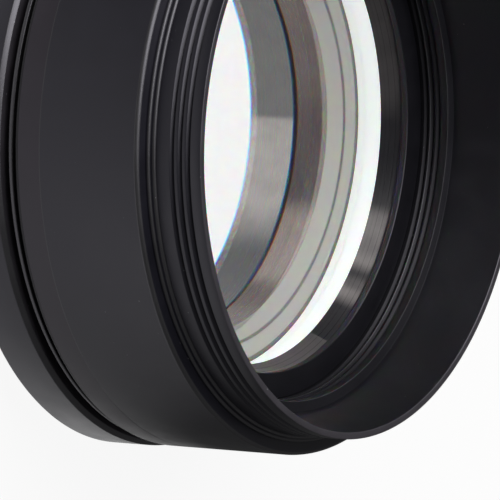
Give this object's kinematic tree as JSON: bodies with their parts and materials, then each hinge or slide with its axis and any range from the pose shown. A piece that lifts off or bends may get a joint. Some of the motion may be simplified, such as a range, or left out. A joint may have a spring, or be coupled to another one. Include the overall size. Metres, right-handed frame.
{
  "type": "auxiliary microscope lens",
  "caption": "Screw-in auxiliary lens for a stereo microscope: short black barrel with a fine male thread, a cemented lens pair, a retaining ring and a wide ring at its working end.",
  "frame": {"origin": "on the optical axis, at the rear face of the nose that it stands on", "axes": "+Z along the optical axis, towards the threaded mouth; +X across, the lens is the same all round but for two spanner slots"},
  "size_m": [0.0514, 0.0514, 0.0246],
  "materials": {
    "housing": "black anodised, satin",
    "locking_ring": "black anodised, satin",
    "rear_flange": "black anodised outside, bare turned metal in the bore",
    "retaining_ring": "black anodised, glossy turned bore",
    "front_lens": "polished optical glass",
    "rear_lens": "polished optical glass"
  },
  "bodies": {
    "root": {"housing": "housing", "locking_ring": "locking_ring", "rear_flange": "rear_flange", "retaining_ring": "retaining_ring", "front_lens": "front_lens", "rear_lens": "rear_lens"}
  },
  "joints": []
}
